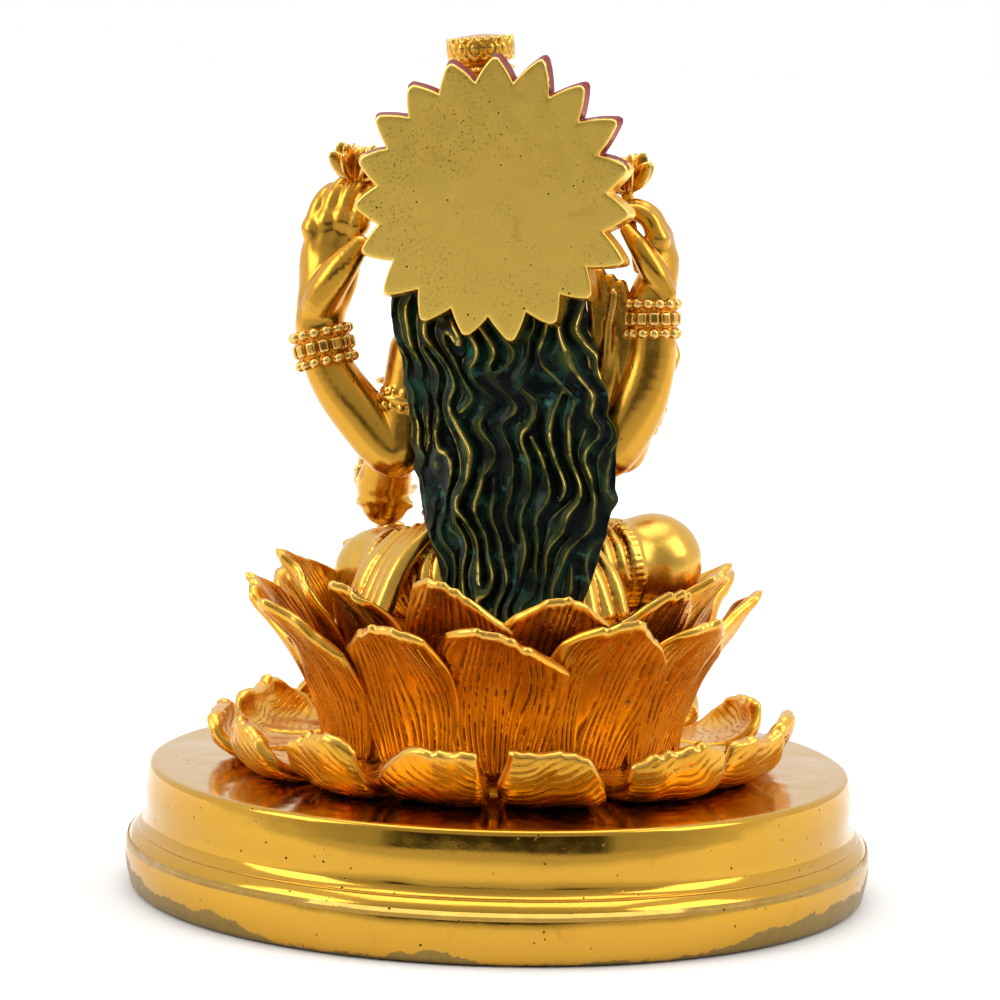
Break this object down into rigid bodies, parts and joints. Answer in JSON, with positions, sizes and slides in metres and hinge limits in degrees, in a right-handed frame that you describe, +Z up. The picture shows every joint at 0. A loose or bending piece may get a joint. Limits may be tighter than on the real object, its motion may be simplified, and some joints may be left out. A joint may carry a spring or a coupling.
{
  "type": "deity figurine",
  "caption": "Small gold-plated resin goddess with raised rear arms and a rayed sun disc, seated on a lotus throne over a round stepped plinth.",
  "frame": {"origin": "centre of the underside, on the table", "axes": "+Z up along the figurine's height; the figure faces -Y and its left side is on +X"},
  "size_m": [0.07, 0.07, 0.08],
  "materials": {
    "plinth_gold": "mirror-bright vacuum gold plating on cast resin",
    "lotus_gold": "gold plating with amber wash in the grooves, on cast resin",
    "figure_gold": "bright gold plating on cast resin",
    "halo_gold": "satin gold plating, red paint on the upper rays",
    "hair_enamel": "dark green enamel with gold ridges",
    "base_felt": "thin glued felt"
  },
  "bodies": {
    "root": {"plinth": "plinth_gold", "base_pad": "base_felt", "lotus_core": "lotus_gold", "lower_petal_01": "lotus_gold", "lower_petal_02": "lotus_gold", "lower_petal_03": "lotus_gold", "lower_petal_04": "lotus_gold", "lower_petal_05": "lotus_gold", "lower_petal_06": "lotus_gold", "lower_petal_07": "lotus_gold", "lower_petal_08": "lotus_gold", "lower_petal_09": "lotus_gold", "lower_petal_10": "lotus_gold", "lower_petal_11": "lotus_gold", "lower_petal_12": "lotus_gold", "lower_petal_13": "lotus_gold", "lower_petal_14": "lotus_gold", "outer_petal_01": "lotus_gold", "outer_petal_02": "lotus_gold", "outer_petal_03": "lotus_gold", "outer_petal_04": "lotus_gold", "outer_petal_05": "lotus_gold", "outer_petal_06": "lotus_gold", "outer_petal_07": "lotus_gold", "outer_petal_08": "lotus_gold", "outer_petal_09": "lotus_gold", "outer_petal_10": "lotus_gold", "outer_petal_11": "lotus_gold", "outer_petal_12": "lotus_gold", "inner_petal_01": "lotus_gold", "inner_petal_02": "lotus_gold", "inner_petal_03": "lotus_gold", "inner_petal_04": "lotus_gold", "inner_petal_05": "lotus_gold", "inner_petal_06": "lotus_gold", "inner_petal_07": "lotus_gold", "inner_petal_08": "lotus_gold", "inner_petal_09": "lotus_gold", "inner_petal_10": "lotus_gold", "inner_petal_11": "lotus_gold", "inner_petal_12": "lotus_gold", "crossed_legs": "figure_gold", "torso": "figure_gold", "head": "figure_gold", "hair_panel": "hair_enamel", "halo_disc": "halo_gold", "crown": "figure_gold", "crown_finial": "figure_gold", "rear_arm_left": "figure_gold", "rear_arm_right": "figure_gold", "front_arm_left": "figure_gold", "front_arm_right": "figure_gold", "bangles": "figure_gold", "held_lotus_left": "figure_gold", "held_lotus_right": "figure_gold", "necklace": "figure_gold", "earrings": "figure_gold", "coins": "figure_gold", "waist_belt": "figure_gold"}
  },
  "joints": []
}
